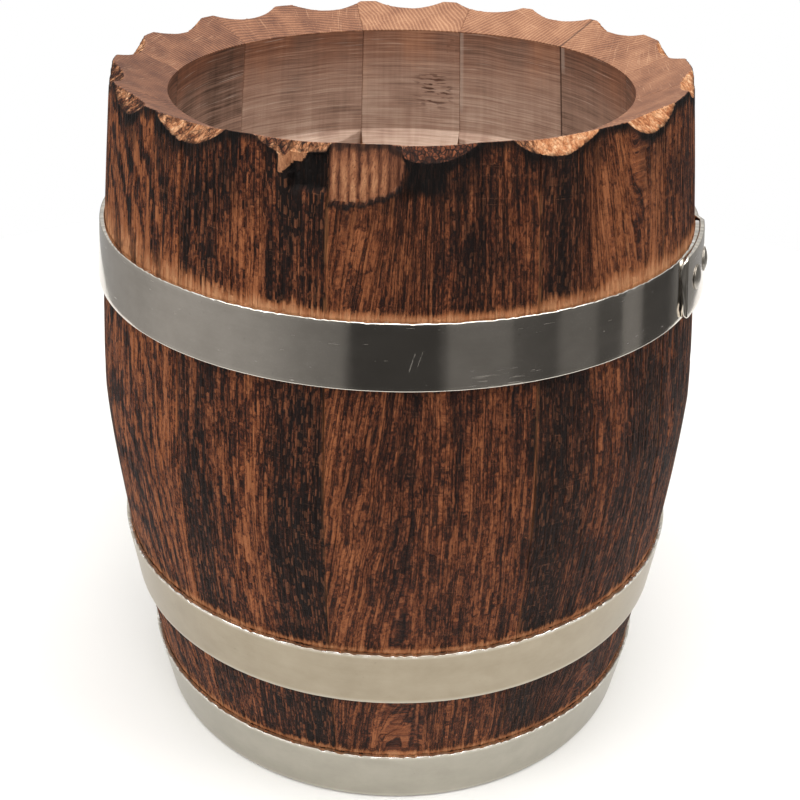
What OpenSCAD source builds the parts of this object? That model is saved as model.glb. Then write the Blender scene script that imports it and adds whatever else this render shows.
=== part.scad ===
// Small open-topped oak barrel: bent staves, three riveted steel hoops and a
// jointed bottom head held in a croze groove.
// The barrel stands on Z = 0 with its axis on Z. Azimuth 0 is the front (-Y)
// and azimuths grow towards +X. All sizes are in millimetres.

/* [Barrel] */
// Height of the staves
barrel_h = 330; // [320:1:345]
// Outer radius of the wood at the top rim
top_r = 130; // [126:0.5:134]
// Outer radius of the wood at the bilge, its widest place
bilge_r = 146.2; // [142:0.2:150]
// Outer radius of the wood at the bottom end
bottom_r = 125.8; // [122:0.2:130]
// Height of the bilge above the floor
bilge_z = 178; // [170:1:186]

/* [Staves] */
// Thickness of a common stave at the middle of its flat inner face
stave_t = 31; // [29:0.5:32]
// Open line between neighbouring staves, in degrees
seam_gap = 0.05; // [0.03:0.01:0.1]

/* [Top rim] */
// Flat land left at the outer edge of the rim
rim_land = 0.8; // [0.5:0.1:2]
// Inner radius at the foot of the sloping rim
rim_in_r = 105.7; // [104:0.1:107]
// Drop of the sloping rim from its outer edge to its foot
rim_drop = 10.3; // [8:0.1:12]
// Radius of the smoothed band where it ends
howel_r = 113.4; // [112:0.1:114]
// Depth of the lower end of the smoothed band below the rim
howel_depth = 66; // [60:1:70]
// Radius of the gouge that scallops the rim
gouge_r = 38; // [34:1:42]
// Depth of a scallop, square to its cut
scoop_depth = 5.6; // [4.5:0.1:6.5]
// Slope of a scallop below level, in degrees
scoop_slope = 31; // [26:1:36]

/* [Bottom end] */
// Width of the flat land that the barrel stands on
foot_land = 12; // [9:0.5:13]
// Inner radius of the smoothed band at the bottom
foot_r = 104; // [103:0.2:105]
// Height of the groove that holds the bottom head
croze_z = 22; // [20:1:24]
// Width of the groove
croze_w = 6; // [5:0.5:7]
// Depth of the groove
croze_d = 4; // [3:0.5:5]

/* [Bottom head] */
// Thickness of the head boards
head_t = 16; // [14:1:18]
// Width of one head board
board_w = 43; // [41:0.5:43]
// Radius of the dowels between the boards
dowel_r = 4; // [3:0.5:4]
// Length of a dowel
dowel_l = 34; // [26:1:36]

/* [Hoops] */
// Thickness of the hoop strip
hoop_t = 2.2; // [1.5:0.1:2.4]
// Radius of a rivet shank
rivet_r = 2.5; // [2:0.1:3]
// Radius of a rivet head
rivet_head_r = 5.6; // [5:0.1:6]

/* [Hidden] */
$fn = 180;
eps = 0.01;

// Azimuth of the seam at the start of each stave. The staves are split from
// the log and differ in width. The list closes on its first seam.
seams = [-40, -11.5, 23.5, 54, 76, 98.5, 131, 163.5, 191.5, 229, 262, 292, 320];
// How much thicker than stave_t each stave was left inside
extra_t = [1, 0, 0.5, 0, 0.5, 0, 0.5, 2.3, 0.3, 1, 0.3, 0.6];
// Azimuth of each scallop, and its depth against the common one
scoops = [
    [5, 0.9], [27, 1], [50.5, 1], [76, 0.9], [100.5, 0.85], [122, 0.9],
    [140, 0.95], [159, 1], [178.5, 0.95], [199, 1.05], [220.5, 1.1],
    [241, 1.05], [261.5, 1], [282, 0.95], [300, 0.95], [321, 1.1], [343, 0.8]
];
// Heights of the hoops and the azimuth where each lap starts
upper = [236, 264, 59];
lower = [72, 103, 222];
base = [1, 32, 122];
lap_deg = 22;

// Heights at which the bulging outline has a corner
levels = [0, base[1], lower[0], lower[1], 136, 160, bilge_z, 206, upper[0],
          upper[1], 298, barrel_h];

// Outer radius of the wood at height z
function wood_r(z) = z > bilge_z
    ? bilge_r - (bilge_r - top_r) * pow((z - bilge_z) / (barrel_h - bilge_z), 1.3)
    : bilge_r - (bilge_r - bottom_r) * pow((bilge_z - z) / bilge_z, 1.6);

// The wood's outline from the axis side out, as seen in one half of a section
section_pts = concat([[60, barrel_h], [60, 0]], [for (z = levels) [wood_r(z), z]]);

// Space cleared inside the top end: the sloping rim, the smoothed band and the
// shoulder where the band runs out on the rough inner face
rim_slope = rim_drop / (top_r - rim_land - rim_in_r);
howel_z = barrel_h - howel_depth;
module top_clearing() {
    rotate_extrude()
        polygon([[0, barrel_h + 5], [top_r - rim_land + 5 / rim_slope, barrel_h + 5],
                 [rim_in_r, barrel_h - rim_drop], [howel_r, howel_z],
                 [howel_r - 18, howel_z - 18 * 1.73], [0, howel_z - 18 * 1.73]]);
}

// Space cleared inside the bottom end, with the groove for the head
foot_in = wood_r(0) - foot_land;
module bottom_clearing() {
    rotate_extrude()
        polygon([[0, -5], [foot_in + 5 * (foot_in - foot_r) / 6, -5], [foot_r, 6],
                 [foot_r, croze_z], [foot_r + croze_d, croze_z],
                 [foot_r + croze_d, croze_z + croze_w], [foot_r, croze_z + croze_w],
                 [foot_r, 46], [foot_r - 10, 46 + 17.3], [0, 46 + 17.3]]);
}

// One gouge cut across the outer edge of the rim
module scoop(az, k) {
    // deepest line of the cut: it starts on the sloping rim and runs outwards
    r0 = top_r - 6.5;
    z0 = barrel_h - 6.5 * rim_slope + scoop_depth * (1 - k);
    rotate([0, 0, az - 90])
        translate([r0, 0, z0])
            rotate([0, 90 + scoop_slope, 0])
                translate([-gouge_r, 0, 0])
                    cylinder(r = gouge_r, h = 50, center = true);
}

// Blank of one stave: bent along its length and flat across its inner face
module blank(t) {
    rotate([90, 0, 0])
        linear_extrude(height = 130, center = true)
            polygon(concat([[190, barrel_h + 1], [190, -1]],
                           [for (z = levels) [wood_r(z) - t, z < 1 ? -1 : z > barrel_h - 1 ? barrel_h + 1 : z]]));
}

module stave(i) {
    a0 = seams[i];
    w = seams[i + 1] - a0;
    color([0.36, 0.2, 0.13])
        difference() {
            intersection() {
                rotate([0, 0, a0 - 90 + seam_gap / 2])
                    rotate_extrude(angle = w - seam_gap)
                        polygon(section_pts);
                rotate([0, 0, a0 - 90 + w / 2]) blank(stave_t + extra_t[i]);
            }
            top_clearing();
            bottom_clearing();
            for (s = scoops)
                if (abs(((s[0] - a0 - w / 2 + 540) % 360) - 180) < w / 2 + 13)
                    scoop(s[0], s[1]);
        }
}

// Radius of the inner face of a hoop at height z
function hoop_r(z) = wood_r(z) + 0.1;

// Ring between two azimuths that follows the hoop's slope, from s0 to s1 off the
// wood, and reaches past the strip's edges by over
module hoop_arc(h, a0, a1, s0, s1, over) {
    k = (hoop_r(h[1]) - hoop_r(h[0])) / (h[1] - h[0]) * over;
    rotate([0, 0, a0 - 90])
        rotate_extrude(angle = a1 - a0)
            polygon([[hoop_r(h[0]) + s0 - k, h[0] - over], [hoop_r(h[0]) + s1 - k, h[0] - over],
                     [hoop_r(h[1]) + s1 + k, h[1] + over], [hoop_r(h[1]) + s0 + k, h[1] + over]]);
}

// Places its children on the middle of a hoop strip, with +Z square to the strip
module on_hoop(h, az) {
    zm = (h[0] + h[1]) / 2;
    tilt = atan((hoop_r(h[0]) - hoop_r(h[1])) / (h[1] - h[0]));
    rotate([0, 0, az - 90])
        translate([(hoop_r(h[0]) + hoop_r(h[1])) / 2, 0, zm])
            rotate([0, 90 - tilt, 0]) children();
}

// The two rivets of a lap stand this far from where the lap starts
rivet_at = [7, 16];

// A strip that laps over its own end: the free end lies outside, and a step
// at the other end of the lap brings it down to the wood. It is cut from one
// thick ring: the outer half goes away outside the lap, a thin line parts the
// two layers inside it, and a short gap frees the end that lies under.
module hoop(h) {
    color([0.72, 0.7, 0.66])
        difference() {
            hoop_arc(h, h[2] + 190, h[2] + 550, 0, 2 * hoop_t + 0.1, 0);
            hoop_arc(h, h[2] + lap_deg + 1.5, h[2] + 360, hoop_t, 3 * hoop_t, 2);
            hoop_arc(h, h[2] - 1, h[2] + lap_deg - 1, hoop_t - 0.02, hoop_t + 0.1, 2);
            hoop_arc(h, h[2] + lap_deg - 1, h[2] + lap_deg, -2, hoop_t + 0.1, 2);
            for (a = rivet_at)
                on_hoop(h, h[2] + a) cylinder(r = rivet_r + 0.05, h = 30, center = true);
        }
}

// Rivets of one lap: shank through both layers and a low round head outside
module rivets(h) {
    color([0.6, 0.58, 0.55])
        for (a = rivet_at)
            on_hoop(h, h[2] + a) {
                translate([0, 0, 0.1]) cylinder(r = rivet_r, h = 2 * hoop_t + 0.3);
                translate([0, 0, 2 * hoop_t + 0.15])
                    intersection() {
                        cylinder(r = rivet_head_r, h = 1.5);
                        translate([0, 0, 1.5 - 14]) sphere(r = 14);
                    }
            }
}

// Full head disc: a tongue runs in the groove and both faces are bevelled to it
head_r = foot_r + croze_d - 0.2;
tongue_z = [croze_z + 0.1, croze_z + croze_w - 0.1];
head_z = [croze_z + croze_w / 2 - head_t / 2, croze_z + croze_w / 2 + head_t / 2];
module head_disc() {
    rotate_extrude()
        polygon([[0, head_z[0]], [foot_r - 9, head_z[0]], [foot_r - 0.5, tongue_z[0]],
                 [head_r, tongue_z[0]], [head_r, tongue_z[1]], [foot_r - 0.5, tongue_z[1]],
                 [foot_r - 9, head_z[1]], [0, head_z[1]]]);
}

// Joint lines of the head, and how far from the middle the dowels stand on each
joints = [-1.5 * board_w, -0.5 * board_w, 0.5 * board_w, 1.5 * board_w];
dowel_y = [34, 55, 55, 34];

// One head board between x0 and x1, drilled for the dowels on its edges
module board(x0, x1) {
    color([0.78, 0.6, 0.42])
        difference() {
            intersection() {
                head_disc();
                translate([x0 + 0.05, -120, 0]) cube([x1 - x0 - 0.1, 240, 60]);
            }
            for (k = [0:3])
                if (joints[k] == x0 || joints[k] == x1)
                    for (s = [-1, 1])
                        translate([joints[k], s * dowel_y[k], croze_z + croze_w / 2])
                            rotate([0, 90, 0])
                                cylinder(r = dowel_r + 0.05, h = dowel_l + 1, center = true);
        }
}

module dowels() {
    color([0.85, 0.72, 0.55])
        for (k = [0:3])
            for (s = [-1, 1])
                translate([joints[k], s * dowel_y[k], croze_z + croze_w / 2])
                    rotate([0, 90, 0])
                        cylinder(r = dowel_r, h = dowel_l, center = true);
}

module stave_01() { stave(0); }
module stave_02() { stave(1); }
module stave_03() { stave(2); }
module stave_04() { stave(3); }
module stave_05() { stave(4); }
module stave_06() { stave(5); }
module stave_07() { stave(6); }
module stave_08() { stave(7); }
module stave_09() { stave(8); }
module stave_10() { stave(9); }
module stave_11() { stave(10); }
module stave_12() { stave(11); }
module upper_hoop() { hoop(upper); }
module lower_hoop() { hoop(lower); }
module base_hoop() { hoop(base); }
module upper_hoop_rivets() { rivets(upper); }
module lower_hoop_rivets() { rivets(lower); }
module base_hoop_rivets() { rivets(base); }
module head_centre_board() { board(joints[1], joints[2]); }
module head_left_board() { board(joints[0], joints[1]); }
module head_right_board() { board(joints[2], joints[3]); }
module head_left_cant() { board(-head_r - 1, joints[0]); }
module head_right_cant() { board(joints[3], head_r + 1); }
module head_dowels() { dowels(); }

stave_01();
stave_02();
stave_03();
stave_04();
stave_05();
stave_06();
stave_07();
stave_08();
stave_09();
stave_10();
stave_11();
stave_12();
upper_hoop();
lower_hoop();
base_hoop();
upper_hoop_rivets();
lower_hoop_rivets();
base_hoop_rivets();
head_centre_board();
head_left_board();
head_right_board();
head_left_cant();
head_right_cant();
head_dowels();
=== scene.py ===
import math

import bpy
import numpy as np
from mathutils import Matrix


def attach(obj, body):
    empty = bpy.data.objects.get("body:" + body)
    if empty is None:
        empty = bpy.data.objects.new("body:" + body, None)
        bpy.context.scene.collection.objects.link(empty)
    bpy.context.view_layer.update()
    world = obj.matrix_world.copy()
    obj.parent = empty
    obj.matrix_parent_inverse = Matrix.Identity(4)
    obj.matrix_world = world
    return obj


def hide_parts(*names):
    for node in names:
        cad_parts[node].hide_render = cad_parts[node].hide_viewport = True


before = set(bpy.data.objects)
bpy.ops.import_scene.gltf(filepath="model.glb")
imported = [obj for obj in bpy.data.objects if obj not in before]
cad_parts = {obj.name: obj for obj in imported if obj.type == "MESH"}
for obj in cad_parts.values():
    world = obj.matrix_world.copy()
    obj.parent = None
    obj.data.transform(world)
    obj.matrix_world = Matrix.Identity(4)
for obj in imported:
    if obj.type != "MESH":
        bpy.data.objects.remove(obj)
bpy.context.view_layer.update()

# ---------------------------------------------------------------- the barrel's own numbers, in mm
H = 330.0
SEAMS = [-40, -11.5, 23.5, 54, 76, 98.5, 131, 163.5, 191.5, 229, 262, 292, 320]
EXTRA = [1, 0, 0.5, 0, 0.5, 0, 0.5, 2.3, 0.3, 1, 0.3, 0.6]
GAP = 0.05
STAVE_T = 31.0
SCOOPS = [
    (5, 0.9), (27, 1), (50.5, 1), (76, 0.9), (100.5, 0.85), (122, 0.9),
    (140, 0.95), (159, 1), (178.5, 0.95), (199, 1.05), (220.5, 1.1),
    (241, 1.05), (261.5, 1), (282, 0.95), (300, 0.95), (321, 1.1), (343, 0.8),
]
HOOPS = {"upper_hoop": (236.0, 264.0, 59.0), "lower_hoop": (72.0, 103.0, 222.0), "base_hoop": (1.0, 32.0, 122.0)}
HOOP_T = 2.2
LAP = 22.0
BEVEL_R, BEVEL_DROP, LAND = 105.7, 10.3, 0.8
SLOPE = BEVEL_DROP / (130 - LAND - BEVEL_R)
HOWEL_R, HOWEL_Z = 113.4, 264.0
GOUGE_R, SCOOP_D, SCOOP_A = 38.0, 5.6, math.radians(31)


def smooth(e0, e1, x):
    t = np.clip((x - e0) / (e1 - e0), 0, 1)
    return t * t * (3 - 2 * t)


def bump(x, mid, half):
    """1 at mid, 0 at half away from it."""
    return np.clip(1 - ((x - mid) / half) ** 2, 0, 1) ** 2


def wood_r(z):
    z = np.asarray(z, float)
    up = 146.2 - 16.2 * (np.clip(z - 178, 0, None) / 152) ** 1.3
    down = 146.2 - 20.4 * (np.clip(178 - z, 0, None) / 178) ** 1.6
    return np.where(z > 178, up, down)


def _hash(ix, iy, seed):
    n = (ix.astype(np.int64) * 374761393 + iy.astype(np.int64) * 668265263 + int(seed) * 974634777) & 0xFFFFFFFF
    n = ((n ^ (n >> 13)) * 1274126177) & 0xFFFFFFFF
    return ((n ^ (n >> 16)) & 0xFFFF) / 65535.0


def noise(x, y, seed):
    """Smooth value noise from 0 to 1, one cell a unit."""
    x, y = np.broadcast_arrays(np.asarray(x, float), np.asarray(y, float))
    ix, iy = np.floor(x), np.floor(y)
    fx, fy = x - ix, y - iy
    fx, fy = fx * fx * (3 - 2 * fx), fy * fy * (3 - 2 * fy)
    a = _hash(ix, iy, seed) * (1 - fx) + _hash(ix + 1, iy, seed) * fx
    b = _hash(ix, iy + 1, seed) * (1 - fx) + _hash(ix + 1, iy + 1, seed) * fx
    return a * (1 - fy) + b * fy


def fbm(x, y, seed, octaves=3):
    total, amp, out = 0.0, 1.0, 0.0
    for k in range(octaves):
        out = out + amp * noise(x * 2**k, y * 2**k, seed + 31 * k)
        total += amp
        amp *= 0.5
    return out / total


# ---------------------------------------------------------------- shape of the rim
def rim_lift(az):
    """The staves end at slightly different heights."""
    a = np.radians(az)
    return 1.1 * np.cos(a - math.radians(128)) ** 3 + 0.5 * bump(np.abs(az), 0, 40)


def bevel_z(r):
    return np.where(r < 130 - LAND, H - SLOPE * (130 - LAND - r), H)


def scoop_z(r, az):
    """Lowest of the gouge cuts at this place, and the azimuth distance to the nearest cut."""
    best = np.full(np.broadcast(r, az).shape, 1e3)
    for s, k in SCOOPS:
        d = np.radians((az - s + 540) % 360 - 180)
        x, y = r * np.cos(d), r * np.sin(d)
        ok = np.abs(y) < 30
        g = GOUGE_R - np.sqrt(GOUGE_R**2 - np.where(ok, y, 0) ** 2)
        wob = 0.5 * (noise(y * 0.16 + s, s * 0.37, 5) - 0.5)
        z = H - 6.5 * SLOPE + SCOOP_D * (1 - k) + (g - (x - 123.5) * math.sin(SCOOP_A)) / math.cos(SCOOP_A) + wob
        best = np.minimum(best, np.where(ok, z, 1e3))
    return best


def top_z(r, az):
    b, s = bevel_z(r), scoop_z(r, az)
    k = 0.35
    h = np.clip(0.5 + 0.5 * (s - b) / k, 0, 1)
    return s * (1 - h) + b * h - k * h * (1 - h), (s < b)


def grain(i, az, z):
    """Growth rings on the outside, as a distance in mm: each board was sawn from its own place in the log."""
    u = np.radians(az) * 140
    warp = 3.2 * (fbm(u * 0.045, z * 0.012, 100 + i, 2) - 0.5) + 0.45 * (noise(u * 0.3, z * 0.07, 140 + i) - 0.5)
    if i == 1:  # the left half slants and wavers
        w = smooth(7, -4, az)
        wav = 2.6 * (noise(u * 0.12, z * 0.06, 151) - 0.5) * w
        return u - 0.13 * (z - 180) * w + warp * (1.2 + 0.4 * w) + wav * 0.7
    if i == 2:
        w = smooth(30, 36, az) * smooth(50, 42, az)
        return u + 0.0009 * (z - 190) ** 2 * w + warp * 1.2
    return u + warp * 1.2


ARCHES = {3: (62, 0.35), 5: (112, 0.75), 8: (214, 0.6), 10: (274, 0.75)}


def figure(i, az, z):
    """Bold rings of the flat-sawn staves, in rings, and how strongly they show."""
    u = np.radians(az) * 140
    wob = 0.55 * (fbm(u * 0.06, z * 0.03, 700 + i, 3) - 0.5) + 0.25 * (noise(u * 0.25, z * 0.12, 710 + i) - 0.5)
    if i == 11:
        du, dz = u - math.radians(288) * 140, z - 262
        r = np.hypot(du, 0.85 * dz)
        high = np.where(r < 40, r / 20.0, 40 / 20.0 + (r - 40) / 12.0)
        du = np.abs(u - math.radians(299.5) * 140)
        low = (z + 75 * (du / 32) ** 2) / 32.0
        h = smooth(238, 258, z)
        show = (0.75 + 0.25 * h) * smooth(319.5, 314, az)
        return high * h + low * (1 - h) + wob * 1.6, show
    if i in ARCHES:
        mid, s = ARCHES[i]
        du = np.abs(u - math.radians(mid) * 140)
        return (z + 110 * (du / 28) ** 1.7) / 42.0 + wob * 1.5, s * smooth(52, 20, du)
    return u / 9.0 + wob, 0 * u


def tones(i, az, z, u):
    """How burnt the wood is over the outside, and how red."""
    n = fbm(u * 0.05, z * 0.012, 300 + i, 3) - 0.5
    fast = fbm(u * 0.16, z * 0.02, 340 + i, 2) - 0.5
    if i == 11:
        dark = 0.34 - 0.16 * smooth(295, 262, z) * smooth(236, 262, z) + 0.1 * smooth(190, 120, z)
        dark = dark + 0.3 * bump(az, 315.5, 5) * smooth(262, 300, z)
        warm = 0.74 - 0.14 * smooth(180, 110, z)
    elif i == 0:
        dark = 0.54 + 0.22 * smooth(-24, -16, az + 5 * fast) * (0.6 + 0.4 * smooth(250, 180, z)) + 0.06 * bump(az, -35, 6)
        dark = dark - 0.2 * bump(az, -25.5, 5) * smooth(60, 150, z) + 0.12 * smooth(285, 320, z) - 0.04 * smooth(240, 262, z)
        warm = 0.5 + 0.22 * bump(az, -26, 7) - 0.12 * smooth(-21, -14, az)
    elif i == 1:
        dark = 0.45 + 0.16 * smooth(0, 8, az) * smooth(258, 290, z) + 0.08 * smooth(120, 60, z)
        dark = dark + 0.1 * bump(az, 12, 8) * smooth(236, 240, z) - 0.06 * smooth(2, -6, az) - 0.05 * smooth(240, 262, z)
        warm = 0.66 + 0.06 * smooth(8, -8, az)
    elif i == 2:
        dark = 0.56 + 0.24 * bump(az + 3 * fast, 27, 6.5) - 0.12 * bump(az, 40, 8)
        dark = dark - 0.22 * smooth(31, 37, az + 2 * fast) * smooth(240, 268, z) * smooth(332, 305, z) * smooth(54.5, 53, az)
        dark = dark + 0.12 * smooth(236, 200, z) * smooth(42, 50, az)
        warm = 0.5 + 0.18 * bump(az, 41, 8) - 0.1 * bump(az, 27, 6)
    else:
        dark = 0.6 + 0.12 * (noise(np.full(z.shape, i * 3.7), z * 0.01, 8) - 0.5)
        warm = 0.42 + 0.3 * (noise(u * 0.03, z * 0.006, 60 + i) - 0.3)
        if i in ARCHES:
            dark, warm = dark - 0.12, warm + 0.12
    if i == 3:
        dark = dark + 0.14 * smooth(240, 232, z)
    if i == 2:
        dark = dark + 0.13 * smooth(240, 232, z)
    # between the two lower hoops it is browner and quieter
    warm = warm - 0.1 * smooth(110, 70, z)
    dark = dark + 0.34 * n + 0.22 * fast
    return dark, warm


def flake(az, z):
    """Depth in mm of the flake that broke out of the second stave, of the burnt hollow beside it, and where they are."""
    e = noise(az * 1.3, z * 0.0 + 2, 41) - 0.5
    low = flake_low(az) + 1.3 * e
    side = smooth(-11.9, -11.3, az) * smooth(0.9, 0.2, az + 0.7 * (noise(z * 0.7, z * 0, 42) - 0.5))
    fresh = side * smooth(low - 0.35, low + 0.35, z)
    w = az + 0.35 * (noise(az * 0.8, z * 0.12, 43) - 0.5)
    ribs = np.abs(np.sin(w * 1.9)) ** 0.45 * (0.55 + 0.45 * noise(w * 1.3, z * 0.06, 46)) * (0.85 + 0.3 * noise(w * 4.0, z * 0.05, 47))
    depth = fresh * (2.3 + 0.6 * smooth(312, 330, z) - 0.55 * ribs - 0.4 * noise(az * 2.2, z * 0.16, 44))
    ragged = 2.4 * (fbm(az * 0.9, z * 0.35, 45, 2) - 0.5)
    hollow = smooth(-18.8 + 0.5 * ragged, -18.0 + 0.5 * ragged, az) * smooth(-11.6, -12.0, az) * smooth(311 + ragged, 312.6 + ragged, z) * smooth(326.5, 324.5, z)
    depth = depth + 2.6 * hollow
    torn = smooth(-20.4, -19.8, az + 0.4 * ragged) * smooth(-14.8, -15.6, az + 0.4 * ragged) * smooth(-0.5, 0.5, z - 317 - 1.7 * (az + 19.5) + 1.3 * ragged) * smooth(327, 325.5, z)
    depth = depth - 0.7 * torn * (1 - 0.6 * hollow)
    tear = bump(az, 1.4, 1.6) * bump(z, 310.5, 4.5) * 1.2
    return depth + tear, fresh, hollow * (1 - torn), torn, ribs


def flake_low(az):
    return np.interp(az, [-11.5, -8, -4.4, -1.5, 0.6], [307.6, 307.4, 308.6, 311.5, 315.0])


# ---------------------------------------------------------------- staves
PITH = [(150, 70), (170, 100), (140, 60), (150, 120), (260, 90), (150, 50), (160, 62), (140, 118), (90, 172), (320, 95), (150, 70), (120, 130)]


def stave(i, coarse):
    a0, a1 = SEAMS[i] + GAP / 2, SEAMS[i + 1] - GAP / 2
    mid = (SEAMS[i] + SEAMS[i + 1]) / 2
    edge = np.array([0, 0.07, 0.16, 0.28, 0.44])
    n = int((a1 - a0 - 1.2) / (0.24 * coarse))
    az = np.concatenate([a0 + edge, np.linspace(a0 + 0.65, a1 - 0.65, n), a1 - edge[::-1]])[None, :]
    from_edge = np.minimum(az - a0, a1 - az) * math.pi / 180 * 138  # mm from the nearer seam
    arris = np.clip(1 - from_edge / 0.6, 0, 1) ** 2
    proud = 0.28 * (noise(np.array([[i * 5.3]]), np.array([[2.2]]), 9) - 0.5)

    def relief(azz, z):
        u = np.radians(azz) * 140
        phi = grain(i, azz, z)
        saw = phi / 2.1 - np.floor(phi / 2.1)
        ring = smooth(0.0, 0.35, saw) * smooth(1.0, 0.75, saw)
        brk = noise(u * 0.5, z * 0.07, 200 + i)
        fine = noise(u * 1.25, z * 0.045, 210 + i)
        long = fbm(u * 0.35, z * 0.01, 220 + i, 2)
        pit = smooth(0.72, 0.86, noise(u * 0.9, z * 0.13, 230 + i))
        return 0.2 * (1 - ring) * (0.4 + brk) + 0.16 * fine + 0.35 * (long - 0.5) + 0.28 * pit

    def outer_r(azz, z, with_relief=True):
        d = flake(azz, z)[0] if i in (0, 1) else 0
        r = wood_r(z) - d + proud
        if with_relief:
            r = r - relief(azz, z)
        return r - 0.3 * arris

    # where the outside meets the cuts at the top
    z_edge = np.full(az.shape, H)
    for _ in range(8):
        z_edge = 0.5 * z_edge + 0.5 * top_z(outer_r(az, z_edge), az)[0]
    z_edge = z_edge - 0.2

    parts = []  # (r, z, region of the faces that follow this row)
    foot = np.linspace(113.8, wood_r(0) - 0.6, 6)[:, None] + 0 * az
    parts.append((foot, 0 * foot, 5))
    t = np.linspace(0, 1, int(300 / coarse))[:, None]
    t = t + 0.06 * np.sin(t * math.pi * 2) / (2 * math.pi) * 0
    z = 0.4 + (z_edge - 0.4) * t
    parts.append((outer_r(az, z), z, 0))
    r_edge = outer_r(az, z_edge)
    t = np.linspace(0, 1, int(66 / coarse ** 0.5))[1:, None]
    r = r_edge + (BEVEL_R - r_edge) * t
    zt, cut = top_z(r, az)
    u = np.radians(az) * 128
    torn = (fbm(u * 0.75, r * 0.24, 400 + i, 3) - 0.5) * 1.15 + 0.5 * (noise(u * 1.6, r * 0.3, 410 + i) - 0.5)
    heavy = 1 + 1.2 * bump((az + 180) % 360 - 180, -17, 9) + 0.5 * bump(az, 5, 9)
    zt = zt + np.where(cut, torn * heavy * smooth(0, 1.2, bevel_z(r) - zt), 0.05 * (noise(u * 1.5, r * 0.5, 420 + i) - 0.5))
    zt = zt - 0.25 * arris * smooth(0, 3, r_edge - r)
    zt = np.where(t < 0.02, np.minimum(zt, z_edge + 0.3), zt)
    parts.append((r, zt, 2))
    cut_rows = cut & (bevel_z(r) - zt > 0.12)

    def inner_r(z, azz):
        raw = (wood_r(z) - STAVE_T - EXTRA[i]) / np.cos(np.radians(azz - mid))
        raw = raw + 0.9 * (fbm(np.radians(azz) * 40, z * 0.02, 500 + i, 3) - 0.5)
        clear = np.interp(z, [0, 6, 46, 76, 200, 240, HOWEL_Z, H - BEVEL_DROP], [113.8, 104, 104, 86.7, 80, 99.5, HOWEL_R, BEVEL_R])
        tool = 0.05 * (noise(z * 0.9, azz * 0.02, 510) - 0.5) + 0.06 * (noise(np.radians(azz) * 60, z * 0.03, 520 + i) - 0.5)
        return np.maximum(raw, clear + tool) + 0.35 * np.clip(1 - from_edge / 0.8, 0, 1) ** 2

    top_in = H - BEVEL_DROP
    zs = np.concatenate([np.linspace(top_in - 0.5, 266, int(58 / coarse)), np.linspace(265.4, 250, int(30 / coarse ** 0.5)), np.linspace(247, 47, int(56 / coarse ** 0.5))])[:, None] + 0 * az
    parts.append((inner_r(zs, az), zs, 3))
    for rr, zz in [(104, 46), (104, 36), (104, 28), (108, 28), (108, 22), (104, 22), (104, 14), (104, 6), (109, 3)]:
        parts.append((rr + 0 * az, zz + 0 * az, 5))

    R = np.concatenate([p[0] for p in parts])
    Z = np.concatenate([p[1] for p in parts])
    region = np.concatenate([np.full(len(p[0]), p[2]) for p in parts])
    P, A = R.shape
    AZ = np.broadcast_to(az, R.shape)
    lift = rim_lift(AZ) * smooth(268, 326, Z)
    a = np.radians(AZ)
    co = np.stack([R * np.sin(a), -R * np.cos(a), Z + lift], -1) * 0.001

    first_top = len(foot) + len(parts[1][0])
    n_top = len(parts[2][0])
    first_in = first_top + n_top

    # faces: row p to p + 1 round the closed profile, column a to a + 1, then the two sides
    p = np.arange(P)[:, None]
    q = np.arange(A - 1)[None, :]
    pn = (p + 1) % P
    quads = np.stack([p * A + q, p * A + q + 1, pn * A + q + 1, pn * A + q], -1).reshape(-1, 4)
    reg = np.repeat(region, A - 1).reshape(P, A - 1)
    reg[first_top - 1 : first_in - 1][cut_rows[:, :-1]] = 1
    reg[first_top - 1, :] = np.where(reg[first_top, :] == 1, 1, 0)
    low = Z[:, :-1]
    inner_rows = np.zeros((P, 1), bool)
    inner_rows[first_in:] = True
    reg[inner_rows & (reg == 3) & (low < HOWEL_Z + 0.3)] = 4
    if i == 1:
        fresh = flake(AZ, Z)[1]
        mask = (fresh[:, :-1] > 0.5) & (np.arange(P)[:, None] < first_top) & (np.arange(P)[:, None] > len(foot))
        reg[mask & (reg == 0)] = 6
    if i == 0:
        odd = flake(AZ, Z)[3]
        mask = (odd[:, :-1] > 0.5) & (np.arange(P)[:, None] < first_top) & (np.arange(P)[:, None] > len(foot))
        reg[mask & (reg == 0)] = 6
    reg = reg.reshape(-1)

    mesh = bpy.data.meshes.new(f"oak_stave_{i + 1:02d}")
    side0 = np.arange(P) * A
    side1 = (np.arange(P) * A + A - 1)[::-1]
    loops = np.concatenate([quads.reshape(-1), side0, side1]).astype(np.int32)
    starts = np.concatenate([np.arange(len(quads)) * 4, [len(quads) * 4, len(quads) * 4 + P]]).astype(np.int32)
    mesh.vertices.add(P * A)
    mesh.vertices.foreach_set("co", co.reshape(-1).astype(np.float32))
    mesh.loops.add(len(loops))
    mesh.loops.foreach_set("vertex_index", loops)
    mesh.polygons.add(len(starts))
    mesh.polygons.foreach_set("loop_start", starts)
    freg = np.concatenate([reg, [5, 5]]).astype(np.int32)
    mesh.polygons.foreach_set("material_index", freg)
    mesh.update(calc_edges=True)
    mesh.validate()
    mesh.set_sharp_from_angle(angle=math.radians(48))

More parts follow.
